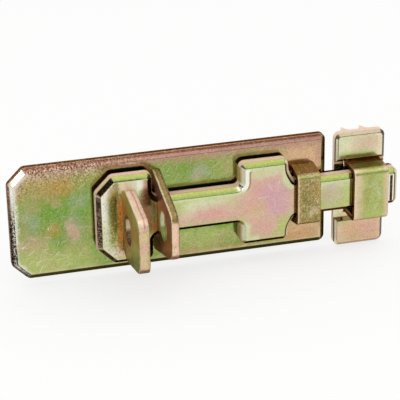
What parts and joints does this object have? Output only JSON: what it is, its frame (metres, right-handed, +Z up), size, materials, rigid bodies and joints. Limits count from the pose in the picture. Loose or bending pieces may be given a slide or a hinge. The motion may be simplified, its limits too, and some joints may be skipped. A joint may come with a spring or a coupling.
{
  "type": "padbolt",
  "caption": "Pressed-steel padbolt on a long base plate: a flat sliding bolt with a padlock lug, a fixed lug, a guide strap and a separate clawed keep.",
  "frame": {"origin": "middle of the base plate's back, in the plane of the door", "axes": "+X along the bolt, the way it shoots; +Z up; the front faces -Y and +Y goes into the door"},
  "size_m": [0.1467, 0.0389, 0.0468],
  "materials": {
    "yellow_zinc": "yellow-passivated zinc plating, glossy, with green and pink interference tints"
  },
  "bodies": {
    "plate": {"base_plate": "yellow_zinc", "fixed_lug": "yellow_zinc", "guide_strap": "yellow_zinc", "keep_plate": "yellow_zinc", "keep_strap": "yellow_zinc"},
    "slider": {"bolt": "yellow_zinc", "bolt_lug": "yellow_zinc"}
  },
  "joints": [
    {"name": "bolt_slide", "type": "slide", "parent": "plate", "child": "slider", "axis": [1, 0, 0], "range_m": [-0.0278, 0]}
  ]
}
